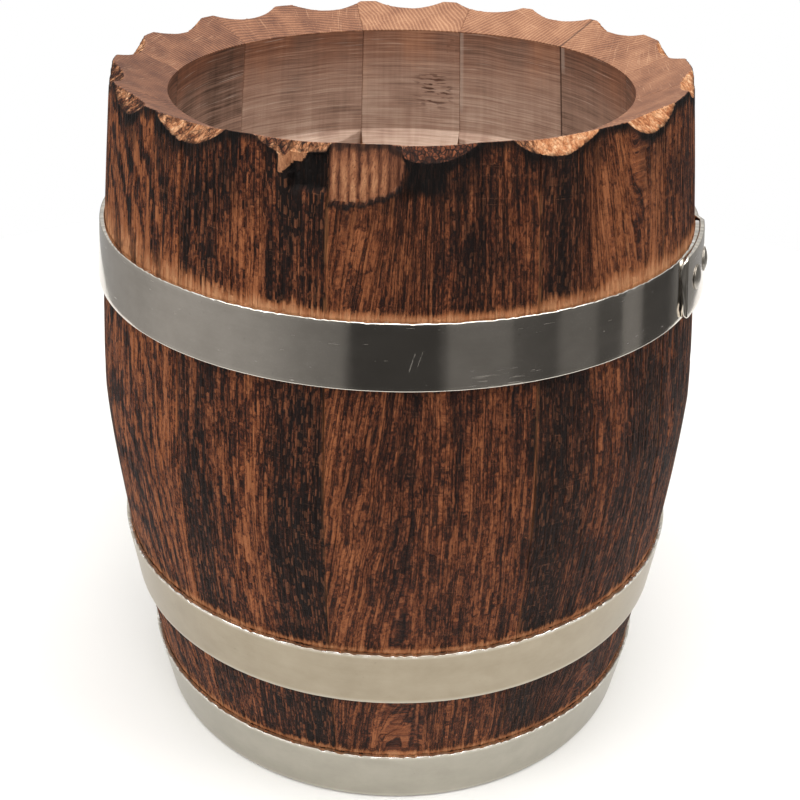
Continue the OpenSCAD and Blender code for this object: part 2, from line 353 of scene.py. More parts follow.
    # coordinates for the materials, by region
    seed = i * 13.7
    uo = np.radians(AZ - mid) * 140
    along = grain(i, AZ, Z)
    g_out = np.stack([along - math.radians(mid) * 140, Z, 0 * Z + seed], -1)
    dist, ang = PITH[i]
    m = math.radians(mid)
    cx, cy = 118 * math.sin(m), -118 * math.cos(m)
    th = math.radians(ang)
    rx, ry = math.sin(m), -math.cos(m)
    tx, ty = math.cos(m), math.sin(m)
    px, py = cx + dist * (math.cos(th) * rx + math.sin(th) * tx), cy + dist * (math.cos(th) * ry + math.sin(th) * ty)
    X, Y = R * np.sin(a), -R * np.cos(a)
    dx, dy = X - px, Y - py
    rho = np.hypot(dx, dy)
    tau = np.arctan2(dx * (cy - py) - dy * (cx - px), dx * (cx - px) + dy * (cy - py)) * dist
    g_end = np.stack([tau, rho, 0 * Z + seed], -1)
    g_cut = np.stack([np.radians(AZ - mid) * 128, (130 - R) * 1.1, 0 * Z + seed], -1)
    g_in = np.stack([np.radians(AZ - mid) * 108, Z, 0 * Z + seed], -1)
    g_low = np.stack([X, Z, Y + seed], -1)
    stack = np.stack([g_out, g_cut, g_end, g_in, g_in, g_low, g_out]).reshape(7, -1, 3)
    corner_reg = np.concatenate([np.repeat(reg, 4), np.full(2 * P, 5)])
    gc = stack[corner_reg, loops]
    at = mesh.attributes.new("gc", "FLOAT_VECTOR", "CORNER")
    at.data.foreach_set("vector", gc.reshape(-1).astype(np.float32))
    rings, show = figure(i, AZ, Z)
    ring = np.where(corner_reg == 2, rho.reshape(-1)[loops], rings.reshape(-1)[loops])
    at = mesh.attributes.new("ring", "FLOAT", "CORNER")
    at.data.foreach_set("value", ring.astype(np.float32))

    # masks: golden unburnt bands beside the hoops, burnt border at the rim, how burnt the rest is, and painted shadow
    # under the upper hoop and under the flake
    u = np.radians(AZ) * 140
    dark, warm = tones(i, AZ, Z, u)
    az_c = (AZ + 180) % 360 - 180
    tall = np.interp(az_c, [-75, -58, -44, -30, -14, -10, 16, 26, 36, 50, 60, 90], [20, 26, 19, 8, 7, 5, 5, 7, 9, 13, 9, 9])
    tall = tall * (0.75 + 0.6 * fbm(u * 0.12, 0 * Z, 635, 2))
    gold = np.clip(1 - (Z - 264.5) / tall, 0, 1) ** 1.4 * smooth(262, 264, Z)
    fringe = 2.2 + 2.6 * noise(u * 0.5, 0 * Z, 636) + 0.12 * tall
    gold = gold + 0.9 * np.clip(1 - (Z - 103.3) / fringe, 0, 1) ** 1.1 * smooth(102, 103, Z)
    gold = gold + 0.9 * np.clip(1 - (Z - 32.3) / fringe, 0, 1) ** 1.1 * smooth(31, 32, Z)
    if i == 2:
        gold = gold + 0.3 * smooth(31, 37, AZ) * smooth(312, 285, Z) * smooth(262, 264, Z) * smooth(0.35, 0.6, fbm(u * 0.2, Z * 0.02, 637, 2))
    ze = np.broadcast_to(z_edge, Z.shape)
    under = ze - Z
    rim_n = 2.4 * noise(u * 0.35, 0 * Z, 630) + 4.2 * noise(u * 0.11, 0 * Z, 640)
    char_and_shade = smooth(2.2 + rim_n, 0.2, under) * 0.9
    char_and_shade = char_and_shade + 0.6 * smooth(0.42, 0.7, fbm(u * 0.07, Z * 0.05, 650, 3)) * smooth(280, 318, Z)
    # painted shadow: a darker band just under the upper hoop's lower edge, carried in the char mask
    char_and_shade = char_and_shade + smooth(236, 233.5, Z) * smooth(214, 234, Z) * 0.3 * noise(u * 0.4, Z * 0, 660)
    cut_char = 0.75 * smooth(1.6, 0.2, r_edge - R) * smooth(0.3, 0.7, noise(u * 0.5, R * 0.3, 670))
    rows = np.arange(P)[:, None] + 0 * AZ
    on_top = (rows >= first_top) & (rows < first_in)
    inside = rows >= first_in
    char_and_shade = np.where(on_top, cut_char, char_and_shade)
    ridge = np.zeros(Z.shape)
    if i in (0, 1, 2):
        for sm, side in ((-11.5, 1), (23.5, 1), (54, -1)):
            d = np.abs(AZ - sm) * math.pi / 180 * 138
            ridge = ridge + smooth(1.1, 0.3, d) * smooth(0.35, 0.6, noise(Z * 0.16, 0 * Z + sm, 680)) * (0.35 + 0.65 * smooth(236, 262, Z)) * smooth(316, 296, Z)
    if i in (0, 1):
        _, fresh, hollow, torn, ribs = flake(AZ, Z)
        char_and_shade = np.where(on_top, char_and_shade, char_and_shade + 1.2 * smooth(0.1, 0.5, hollow))
        low = flake_low(AZ) + 1.3 * (noise(AZ * 1.3, Z * 0.0 + 2, 41) - 0.5)
        keep = 1 - smooth(0.4, 0.7, np.maximum(fresh, torn))
        char_and_shade = np.where(on_top, char_and_shade, char_and_shade * keep)
        char_and_shade = char_and_shade + 0.9 * bump(AZ, 4.5, 5.5) * bump(Z, 316, 8) * (1 - fresh) * ~on_top
        # painted shadow: the bared wood is darkened along the flake's lower edge
        char_and_shade = char_and_shade + 0.9 * fresh * smooth(low + 1.3, low + 0.2, Z) * ~on_top
        # painted shadow: a dark line on the burnt surface just under the flake's lower edge
        painted_shadow_under_chip = bump(Z - low, -0.6, 1.3) * smooth(-11.9, -11.3, AZ) * smooth(1.2, 0.4, AZ) * (1 - fresh) * ~on_top
        char_and_shade = np.maximum(char_and_shade, 1.3 * painted_shadow_under_chip)
        brow = smooth(3.0, 1.5, under + 1.4 * (noise(AZ * 1.4, 0 * Z, 645) - 0.5)) * (fresh > 0.5) * ~on_top
        char_and_shade = np.maximum(char_and_shade, 0.85 * brow)
        gold = gold * keep
    # inside: dark smudges on the middle stave and pale strips beside two seams
    smudge = 0 * Z
    if i == 7:
        smudge = bump(AZ, 171, 8) * bump(Z, 287, 14) * 1.4
        smudge = smudge + 0.5 * bump(AZ, 166, 3) * bump(Z, 312, 14) * smooth(0.4, 0.6, noise(u * 0.5, Z * 0.2, 691))
    strip = smooth(162.2, 162.7, AZ) * smooth(163.6, 163.4, AZ) * smooth(272, 280, Z) + smooth(129.2, 129.8, AZ) * smooth(131.1, 130.8, AZ) * smooth(305, 310, Z)
    gold, char_and_shade = np.where(inside, smudge, gold), np.where(inside, strip, char_and_shade)
    wall = {6: 0.03, 7: 0.05, 8: -0.05, 9: -0.23, 10: -0.26, 11: -0.24, 3: -0.2, 4: -0.16, 5: -0.1}.get(i, -0.1)
    bevel = {6: 0.1, 7: 0.12, 8: -0.1, 9: -0.2, 10: -0.28, 11: -0.25, 3: -0.12, 4: -0.06, 5: 0.02}.get(i, -0.1)
    strong = lambda az: {131: 1.0, 163.5: 0.5, 191.5: 0.4}.get(az, 0.3)
    near0 = (AZ - a0) < (a1 - AZ)
    shade = smooth(2.0, 0, from_edge) * np.where(near0, strong(SEAMS[i]), strong(SEAMS[i + 1]))
    at = mesh.attributes.new("mask", "FLOAT_VECTOR", "POINT")
    at.data.foreach_set("vector", np.stack([np.clip(gold, 0, 1), np.clip(char_and_shade, 0, 1), shade], -1).reshape(-1).astype(np.float32))
    at = mesh.attributes.new("tone", "FLOAT_VECTOR", "POINT")
    third = np.where(rows < first_top, ridge, np.where(on_top, bevel, wall))
    at.data.foreach_set("vector", np.stack([dark, warm, third], -1).reshape(-1).astype(np.float32))
    at = mesh.attributes.new("fig", "FLOAT", "POINT")
    at.data.foreach_set("value", (show + 0 * Z).reshape(-1).astype(np.float32))
    # freshness of each cut: light or burnt
    fresh_cut = np.full(Z.shape, 0.55)
    for s, f in [(5, 0.02), (27, 0.85), (50.5, 1.0), (76, 0.75), (100.5, 0.6), (122, 0.6), (140, 0.6), (159, 0.5), (178.5, 0.5), (199, 0.45), (220.5, 0.55), (241, 0.5), (261.5, 0.4), (282, 0.3), (300, 0.3), (321, 0.42), (343, 0.36)]:
        d = (AZ - s + 540) % 360 - 180
        fresh_cut = np.where(np.abs(d) < 10.5, f, fresh_cut)
    # the cut at 27 is darker on its left, the one at 50.5 paler on its left
    fresh_cut = fresh_cut - 0.5 * bump(AZ, 21, 4.5) + 0.3 * bump(AZ, 46, 6)
    if i in (0, 1):
        body = (fresh > 0.5) | (torn > 0.5)
        fresh_cut = np.where(body & ~on_top, np.where(torn > 0.5, 0.62, (0.05 + 0.64 * np.clip(ribs, 0, 1)) * (1 - 0.12 * smooth(-5, -3.6, AZ)) - 0.1 * smooth(320, 327, Z)), fresh_cut)
    at = mesh.attributes.new("cutf", "FLOAT", "POINT")
    at.data.foreach_set("value", fresh_cut.reshape(-1).astype(np.float32))

    ob = bpy.data.objects.new(f"oak_stave_{i + 1:02d}", mesh)
    bpy.context.scene.collection.objects.link(ob)
    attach(ob, "root")
    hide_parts(f"stave_{i + 1:02d}")
    return ob


# ---------------------------------------------------------------- hoops
def hoop(name):
    z0, z1, lap = HOOPS[name]
    cols = np.concatenate([
        np.linspace(0, 21.5, 60), np.linspace(21.7, 24.6, 22), np.linspace(25, 380.9, 900),
    ])
    lift = (HOOP_T + 0.1) * (1 - smooth(22.0, 24.2, cols))
    az = (lap + cols)[None, :]
    t, e = HOOP_T, 0.55
    # section round the strip: outer face up, top edge, inner face down, bottom edge
    nz = 17
    zz = np.linspace(z0 + e, z1 - e, nz)
    sec = [(t - 0.02, v, 0) for v in zz]
    for k in range(1, 5):
        b = math.radians(90 * k / 4.0)
        sec.append((t - e + e * math.cos(b), z1 - e + e * math.sin(b), 1))
    sec.append((t * 0.5, z1, 1))
    for k in range(0, 4):
        b = math.radians(90 * k / 3.0)
        sec.append((0.3 - 0.3 * math.sin(b), z1 - 0.3 + 0.3 * math.cos(b), 1))
    sec += [(0.0, v, 2) for v in np.linspace(z1 - 2, z0 + 2, 5)]
    for k in range(0, 4):
        b = math.radians(90 * k / 3.0)
        sec.append((0.3 - 0.3 * math.cos(b), z0 + 0.3 - 0.3 * math.sin(b), 1))
    sec.append((t * 0.5, z0, 1))
    for k in range(0, 4):
        b = math.radians(90 * k / 4.0)
        sec.append((t - e + e * math.sin(b), z0 + e - e * math.cos(b), 1))
    S = np.array([(s[0], s[1]) for s in sec])
    kind = np.array([s[2] for s in sec])
    off, z = S[:, :1], S[:, 1:]
    span = (z1 - z0)
    base_r = wood_r(z0) + (wood_r(z1) - wood_r(z0)) * (z - z0) / span + 0.1
    seed = int(z0)
    # rolled strip: slow flats round the ring, a slightly hollow face, nicked upper edge
    flats = 0.07 * (noise(az * 0.16, z * 0.0, seed) - 0.5) + 0.02 * (noise(az * 0.7, z * 0.05, seed + 1) - 0.5)
    face = (kind == 0)[:, None]
    top = np.clip((z - (z1 - 1.2)) / 1.2, 0, 1)
    bot = np.clip(((z0 + 1.2) - z) / 1.2, 0, 1)
    amount = 1.0 if name != "upper_hoop" else 0.45
    nick = smooth(0.5, 0.85, noise(az * 1.3, 0 * z, seed + 2)) * 0.55 + 0.5 * (fbm(az * 0.9, 0 * z, seed + 3, 3) - 0.5)
    ground = 1 - 0.5 * smooth(1.1, 0.0, cols)[None, :]  # the free end has a short chamfer
    R = base_r + off * ground + (lift * (1 - 0.05 * smooth(1.1, 0, cols)))[None, :] + flats * np.where(face, 1, 0.6)
    Z = z + 0 * az - top * nick * amount + bot * 0.12 * (fbm(az * 0.8, 0 * z, seed + 4, 3) - 0.5)
    R = R - top * 0.12 * amount * noise(az * 1.7, 0 * z, seed + 5) * np.where(off > 0.8, 1, 0)
    # corners of the free end are rounded off
    d_end = (cols * math.pi / 180 * 140)[None, :]
    corner = np.clip(1 - d_end / 5.0, 0, 1)
    mid_z = (z0 + z1) / 2
    Z = mid_z + (Z - mid_z) * (1 - 0.5 * (1 - np.sqrt(np.clip(1 - corner**2, 0, 1))) * 0.7)
    a = np.radians(az + 0 * z)
    co = np.stack([R * np.sin(a), -R * np.cos(a), Z + 0 * a], -1) * 0.001
    P, A = R.shape
    p = np.arange(P)[:, None]
    q = np.arange(A - 1)[None, :]
    pn = (p + 1) % P
    quads = np.stack([p * A + q, p * A + q + 1, pn * A + q + 1, pn * A + q], -1).reshape(-1, 4)
    side0 = np.arange(P) * A
    side1 = (np.arange(P) * A + A - 1)[::-1]
    loops = np.concatenate([quads.reshape(-1), side0, side1]).astype(np.int32)
    starts = np.concatenate([np.arange(len(quads)) * 4, [len(quads) * 4, len(quads) * 4 + P]]).astype(np.int32)
    piece = name + "_strip"
    mesh = bpy.data.meshes.new(piece)
    mesh.vertices.add(P * A)
    mesh.vertices.foreach_set("co", co.reshape(-1).astype(np.float32))
    mesh.loops.add(len(loops))
    mesh.loops.foreach_set("vertex_index", loops)
    mesh.polygons.add(len(starts))
    mesh.polygons.foreach_set("loop_start", starts)
    mesh.update(calc_edges=True)
    mesh.validate()
    mesh.set_sharp_from_angle(angle=math.radians(60))
    g = np.stack([np.radians(az + 0 * z) * 142, Z + 0 * az, 0 * a + seed], -1)
    at = mesh.attributes.new("gc", "FLOAT_VECTOR", "POINT")
    at.data.foreach_set("vector", g.reshape(-1).astype(np.float32))
    # edge mask: drives a painted highlight along the strip's top and bottom edges
    edge = np.maximum(top, bot) + 0 * az
    at = mesh.attributes.new("mask", "FLOAT_VECTOR", "POINT")
    at.data.foreach_set("vector", np.stack([edge, top + 0 * az, (z - z0) / span + 0 * az], -1).reshape(-1).astype(np.float32))
    ob = bpy.data.objects.new(piece, mesh)
    bpy.context.scene.collection.objects.link(ob)
    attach(ob, "root")
    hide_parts(name)
    return ob


# ---------------------------------------------------------------- node helpers
class Nodes:
    def __init__(self, name):
        self.mat = bpy.data.materials.new(name)
        self.mat.use_nodes = True
        self.nt = self.mat.node_tree
        self.nt.nodes.clear()
        self.out = self.nt.nodes.new("ShaderNodeOutputMaterial")
        self.bsdf = self.nt.nodes.new("ShaderNodeBsdfPrincipled")
        self.nt.links.new(self.bsdf.outputs[0], self.out.inputs["Surface"])

    def put(self, socket, v):
        if isinstance(v, bpy.types.NodeSocket):
            self.nt.links.new(v, socket)
        elif isinstance(v, (tuple, list)) and len(v) == 3 and socket.type == "RGBA":
            socket.default_value = (*v, 1)
        else:
            socket.default_value = v

    def math(self, op, a, b=0.0, c=0.0, clamp=False):
        n = self.nt.nodes.new("ShaderNodeMath")
        n.operation = op
        n.use_clamp = clamp
        for k, v in enumerate((a, b, c)):
            self.put(n.inputs[k], v)
        return n.outputs[0]

    def add(self, a, b):
        return self.math("ADD", a, b)

    def sub(self, a, b):
        return self.math("SUBTRACT", a, b)

    def mul(self, a, b):
        return self.math("MULTIPLY", a, b)

    def attr(self, name, out="Vector"):
        n = self.nt.nodes.new("ShaderNodeAttribute")
        n.attribute_name = name
        return n.outputs[out]

    def xyz(self, v):
        n = self.nt.nodes.new("ShaderNodeSeparateXYZ")
        self.put(n.inputs[0], v)
        return n.outputs

    def vec(self, x, y, z):
        n = self.nt.nodes.new("ShaderNodeCombineXYZ")
        for k, v in enumerate((x, y, z)):
            self.put(n.inputs[k], v)
        return n.outputs[0]

    def scaled(self, v, s):
        n = self.nt.nodes.new("ShaderNodeVectorMath")
        n.operation = "MULTIPLY"
        self.put(n.inputs[0], v)
        n.inputs[1].default_value = s
        return n.outputs[0]

    def shift(self, v, s):
        n = self.nt.nodes.new("ShaderNodeVectorMath")
        n.operation = "ADD"
        self.put(n.inputs[0], v)
        n.inputs[1].default_value = s
        return n.outputs[0]

    def noise(self, v, detail=3.0, rough=0.55, scale=1.0, distortion=0.0):
        n = self.nt.nodes.new("ShaderNodeTexNoise")
        n.inputs["Scale"].default_value = scale
        n.inputs["Detail"].default_value = detail
        n.inputs["Roughness"].default_value = rough
        n.inputs["Distortion"].default_value = distortion
        self.put(n.inputs["Vector"], v)
        return n.outputs["Fac"]

    def cells(self, v, feature="F1", out="Distance"):
        n = self.nt.nodes.new("ShaderNodeTexVoronoi")
        n.feature = feature
        n.inputs["Scale"].default_value = 1.0
        self.put(n.inputs["Vector"], v)
        return n.outputs[out]

    def white(self, v):
        n = self.nt.nodes.new("ShaderNodeTexWhiteNoise")
        n.noise_dimensions = "3D"
        self.put(n.inputs["Vector"], v)
        return n.outputs["Value"]

    def dashes(self, u, z, s, pitch, length, seed):
        """Fibres side by side, broken into lengths with blunt ends: a value for each, and the gaps."""
        uu = self.mul(self.add(u, seed * 3.7), 1 / pitch)
        col = self.math("FLOOR", uu)
        off = self.white(self.vec(col, seed, s))
        zz = self.add(self.mul(z, 1 / length), self.mul(off, 37.0))
        seg = self.math("FLOOR", zz)
        val = self.white(self.vec(col, seg, self.add(s, seed + 0.5)))
        fu = self.math("ABSOLUTE", self.sub(self.math("FRACT", uu), 0.5))
        fz = self.math("ABSOLUTE", self.sub(self.math("FRACT", zz), 0.5))
        gap = self.math("MAXIMUM", self.step(fu, 0.3, 0.5), self.step(fz, 0.44, 0.5))
        return val, gap

    def step(self, v, lo, hi, a=0.0, b=1.0):
        n = self.nt.nodes.new("ShaderNodeMapRange")
        n.interpolation_type = "SMOOTHSTEP"
        self.put(n.inputs["Value"], v)
        n.inputs["From Min"].default_value = lo
        n.inputs["From Max"].default_value = hi
        n.inputs["To Min"].default_value = a
        n.inputs["To Max"].default_value = b
        return n.outputs["Result"]

    def ramp(self, v, stops):
        n = self.nt.nodes.new("ShaderNodeValToRGB")
        self.put(n.inputs[0], v)
        r = n.color_ramp
        while len(r.elements) > 1:
            r.elements.remove(r.elements[-1])
        r.elements[0].position = stops[0][0]
        r.elements[0].color = (*lin(stops[0][1]), 1)
        for pos, c in stops[1:]:
            e = r.elements.new(pos)
            e.color = (*lin(c), 1)
        return n.outputs[0]

    def mix(self, f, a, b, kind="MIX"):
        n = self.nt.nodes.new("ShaderNodeMix")
        n.data_type = "RGBA"
        n.blend_type = kind
        self.put(n.inputs[0], f)
        for s, v in ((n.inputs[6], a), (n.inputs[7], b)):
            if isinstance(v, (tuple, list)):
                s.default_value = (*lin(v), 1)
            else:
                self.put(s, v)
        return n.outputs[2]

    def bump(self, height, strength, dist):
        n = self.nt.nodes.new("ShaderNodeBump")
        n.inputs["Strength"].default_value = strength
        n.inputs["Distance"].default_value = dist
        self.put(n.inputs["Height"], height)
        self.nt.links.new(n.outputs[0], self.bsdf.inputs["Normal"])
        return n.outputs[0]

    def done(self, colour=None, rough=None, metal=None, spec=None):
        if colour is not None:
            self.put(self.bsdf.inputs["Base Color"], colour)
        if rough is not None:
            self.put(self.bsdf.inputs["Roughness"], rough)
        if metal is not None:
            self.bsdf.inputs["Metallic"].default_value = metal
        if spec is not None:
            self.bsdf.inputs["Specular IOR Level"].default_value = spec
        return self.mat


def lin(c):
    """An 8-bit sRGB colour as linear values."""
    return tuple((v / 255 / 12.92) if v <= 10.31 else ((v / 255 + 0.055) / 1.055) ** 2.4 for v in c)


# ---------------------------------------------------------------- oak, outside: burnt and brushed
def oak_outside():
    n = Nodes("oak_charred_brushed")
    gc = n.attr("gc")
    u, z, s = n.xyz(gc)
    gold, char_and_shade, shade = n.xyz(n.attr("mask"))
    dark, warm, ridge = n.xyz(n.attr("tone"))
    ring = n.attr("ring", "Fac")
    fig = n.attr("fig", "Fac")
    # fibres wander a little and are not of one width
    wig = n.noise(n.scaled(gc, (0.1, 0.035, 1)), 2, 0.5)
    wid = n.noise(n.scaled(gc, (0.35, 0.002, 1)), 2, 0.5)
    uw = n.add(u, n.add(n.mul(n.sub(wig, 0.5), 0.9), n.mul(n.sub(wid, 0.5), 3.5)))
    zw = n.add(z, n.mul(n.sub(n.noise(n.scaled(gc, (0.9, 0.1, 1)), 2, 0.6), 0.5), 3.0))
    gw = n.vec(uw, zw, s)
    d1, gap1 = n.dashes(uw, zw, s, 1.5, 15.0, 1.0)
    d2, gap2 = n.dashes(uw, zw, s, 0.8, 3.4, 2.0)
    d3, _ = n.dashes(uw, zw, s, 0.6, 1.5, 3.0)
    fine = n.noise(n.shift(n.scaled(gw, (2.2, 0.85, 1)), (7, 0, 9)), 4, 0.68)
    streak = n.noise(n.shift(n.scaled(gw, (0.62, 0.027, 1)), (1, 0, 2)), 5, 0.7)
    wide = n.noise(n.shift(n.scaled(gc, (0.2, 0.024, 1)), (4, 0, 2)), 3, 0.55)
    blot = n.noise(n.shift(n.scaled(gc, (0.15, 0.05, 1)), (6, 0, 6)), 3, 0.55)
    v = n.add(0.52, n.mul(n.sub(d1, 0.5), 0.4))
    v = n.add(v, n.mul(n.sub(d2, 0.5), 0.27))
    v = n.add(v, n.mul(n.sub(d3, 0.5), 0.27))
    v = n.add(v, n.mul(n.sub(fine, 0.5), 0.85))
    v = n.add(v, n.mul(n.sub(streak, 0.5), 1.3))
    v = n.add(v, n.mul(n.sub(wide, 0.5), 0.38))
    v = n.add(v, n.mul(n.sub(blot, 0.5), 0.35))
    v = n.sub(v, n.mul(n.sub(dark, 0.5), 0.85))
    v = n.sub(v, n.mul(gap1, 0.17))
    v = n.sub(v, n.mul(gap2, 0.06))
    # bold rings, ragged at their edges
    rag = n.noise(n.shift(n.scaled(gc, (0.5, 0.1, 1)), (5, 0, 1)), 3, 0.6)
    wave = n.math("SINE", n.mul(n.add(ring, n.mul(n.sub(rag, 0.5), 0.6)), 2 * math.pi))
    band = n.step(n.add(wave, n.mul(n.sub(fine, 0.5), 1.2)), -0.1, 0.7)
    v = n.sub(v, n.mul(n.mul(band, fig), n.add(0.12, n.mul(rag, 0.42))))
    v = n.add(v, n.mul(n.mul(n.sub(1.0, band), fig), 0.12))
    cold = n.ramp(v, [(0.14, (27, 16, 13)), (0.36, (44, 26, 19)), (0.52, (70, 38, 26)), (0.7, (110, 64, 42)), (0.92, (152, 98, 68))])
    hot = n.ramp(v, [(0.14, (20, 10, 8)), (0.33, (46, 22, 15)), (0.48, (88, 43, 26)), (0.64, (134, 74, 43)), (0.92, (178, 108, 66))])
    col = n.mix(warm, cold, hot)
    # short worn tips that catch the brush, most in the burnt zones
    tips = n.mul(n.step(d2, 0.82, 0.88), n.sub(1.0, gap2))
    tips = n.add(tips, n.mul(n.step(d3, 0.9, 0.94), 0.6))
    col = n.mix(n.mul(n.mul(tips, n.step(dark, 0.3, 0.75)), 0.42), col, (136, 86, 58))
    # fine scratches across the grain, left by the brush
    tilt = n.vec(n.mul(u, 0.045), n.mul(n.add(z, n.mul(u, 0.06)), 1.9), s)
    across = n.noise(tilt, 2, 0.5)
    scr = n.step(across, 0.63, 0.69)
    patch = n.step(n.noise(n.shift(n.scaled(gc, (0.05, 0.05, 1)), (2, 9, 0)), 2, 0.5), 0.4, 0.62)
    scratch = n.mul(n.mul(scr, patch), n.step(n.add(n.mul(fine, 0.6), n.mul(d2, 0.4)), 0.4, 0.6))
    col = n.mix(n.mul(scratch, 0.42), col, (156, 104, 74))
    nick = n.mul(n.step(across, 0.4, 0.34), n.step(d1, 0.4, 0.6))
    col = n.mix(n.mul(nick, 0.24), col, (38, 21, 15))
    # unburnt gold: streaks that run out upwards at different heights
    run = n.noise(n.shift(n.scaled(gw, (0.95, 0.04, 1)), (2, 0, 8)), 4, 0.62)
    mixed = n.add(n.mul(run, 0.5), n.add(n.mul(d1, 0.2), n.add(n.mul(d2, 0.18), n.mul(fine, 0.12))))
    g_in = n.add(gold, n.mul(n.sub(mixed, 0.5), 1.5))
    g_m = n.math("MULTIPLY", n.step(g_in, 0.22, 0.7), n.step(gold, 0.0, 0.12), 0.0, True)
    g_m = n.mul(g_m, n.sub(1.0, n.mul(n.mul(band, fig), 0.75)))
    g_m = n.mul(g_m, n.sub(1.0, n.mul(n.mul(nick, n.sub(1.0, gold)), 0.6)))
    g_v = n.add(n.mul(mixed, 0.8), n.mul(gold, 0.4))
    gold_col = n.ramp(g_v, [(0.3, (92, 50, 30)), (0.48, (138, 80, 48)), (0.64, (178, 112, 72)), (0.85, (216, 156, 112))])
    col = n.mix(n.mul(g_m, 0.92), col, gold_col)
    col = n.mix(n.mul(ridge, 0.75), col, (150, 98, 62))
    # burnt patches, and the painted shadows under the upper hoop and under the flake, go towards near black
    c_n = n.noise(n.shift(n.scaled(gw, (0.45, 0.16, 1)), (4, 0, 4)), 4, 0.6)
    c_m = n.math("MULTIPLY", char_and_shade, n.step(n.add(c_n, n.mul(char_and_shade, 0.6)), 0.5, 0.86), 0.0, True)
    burnt = n.ramp(n.add(n.mul(fine, 0.6), n.mul(d2, 0.4)), [(0.3, (8, 5, 5)), (0.6, (22, 13, 10)), (0.85, (58, 34, 25))])
    col = n.mix(c_m, col, burnt)
    col = n.mix(n.mul(n.math("POWER", shade, 6.0), 0.5), col, (20, 12, 10))
    rough = n.add(0.5, n.mul(fine, 0.4))
    h = n.add(n.mul(fine, 0.6), n.add(n.mul(d1, 0.3), n.mul(d2, 0.35)))
    h = n.sub(h, n.mul(gap1, 0.35))
    h = n.sub(h, n.mul(gap2, 0.25))
    h = n.add(h, n.mul(streak, 0.8))
    n.bump(h, 0.9, 0.0008)
    return n.done(col, rough, 0.0, 0.18)


def oak_cut():
    n = Nodes("oak_fresh_cut")
    gc = n.attr("gc")
    f = n.attr("cutf", "Fac")
    _, char_and_shade, _ = n.xyz(n.attr("mask"))
    a = n.noise(n.scaled(gc, (1.2, 0.6, 1)), 4, 0.66)
    b = n.noise(n.shift(n.scaled(gc, (0.3, 0.2, 1)), (3, 3, 0)), 3, 0.55)
    cell = n.xyz(n.cells(n.scaled(gc, (0.62, 0.5, 1)), "F1", "Color"))[0]
    gaps = n.step(n.cells(n.scaled(gc, (0.62, 0.5, 1)), "DISTANCE_TO_EDGE"), 0.03, 0.16, 1.0, 0.0)
    v = n.add(n.mul(a, 0.6), n.mul(b, 0.35))
    v = n.add(v, n.mul(n.sub(cell, 0.5), 0.16))
    light = n.ramp(v, [(0.34, (136, 78, 46)), (0.46, (182, 122, 82)), (0.58, (208, 158, 118)), (0.75, (234, 200, 164))])
    deep = n.ramp(v, [(0.32, (26, 15, 12)), (0.46, (70, 38, 26)), (0.6, (128, 74, 48)), (0.8, (178, 114, 78))])
    m = n.step(n.add(f, n.mul(n.sub(b, 0.5), 0.9)), 0.2, 0.6)
    col = n.mix(m, deep, light)
    fleck = n.step(n.noise(n.shift(n.scaled(gc, (1.5, 0.9, 1)), (9, 1, 0)), 3, 0.6), 0.58, 0.68)
    col = n.mix(n.mul(fleck, 0.55), col, (92, 50, 32))
    col = n.mix(n.mul(n.mul(gaps, n.sub(1.25, m)), 0.8), col, (30, 18, 14))
    col = n.mix(n.math("MULTIPLY", char_and_shade, 0.9, 0.0, True), col, (22, 14, 11))
    n.bump(n.add(n.add(a, n.mul(cell, 0.4)), n.mul(gaps, -0.5)), 0.42, 0.0005)
    return n.done(col, n.add(0.6, n.mul(a, 0.3)), 0.0, 0.15)


def oak_split():
    """Wood bared where a flake tore away: it splits along the fibres."""
    n = Nodes("oak_split")
    gc = n.attr("gc")
    f = n.attr("cutf", "Fac")
    _, char_and_shade, _ = n.xyz(n.attr("mask"))
    a = n.noise(n.scaled(gc, (1.7, 0.34, 1)), 4, 0.66)
    b = n.noise(n.shift(n.scaled(gc, (0.35, 0.12, 1)), (3, 3, 0)), 3, 0.55)
    v = n.add(f, n.add(n.mul(n.sub(a, 0.5), 0.8), n.mul(n.sub(b, 0.5), 0.35)))
    col = n.ramp(v, [(0.02, (38, 21, 16)), (0.25, (92, 52, 35)), (0.48, (148, 94, 64)), (0.75, (196, 140, 100)), (1.0, (224, 174, 132))])
    pin = n.step(n.noise(n.shift(n.scaled(gc, (1.5, 1.1, 1)), (9, 1, 0)), 2, 0.5), 0.6, 0.66)
    col = n.mix(n.mul(pin, 0.55), col, (70, 38, 27))
    # burnt rim and the painted shadow along the flake's lower edge darken the bared wood
    col = n.mix(n.math("MULTIPLY", char_and_shade, 0.9, 0.0, True), col, (20, 12, 10))
    n.bump(n.add(a, n.mul(b, 0.5)), 0.5, 0.0004)
    return n.done(col, n.add(0.55, n.mul(a, 0.3)), 0.0, 0.25)


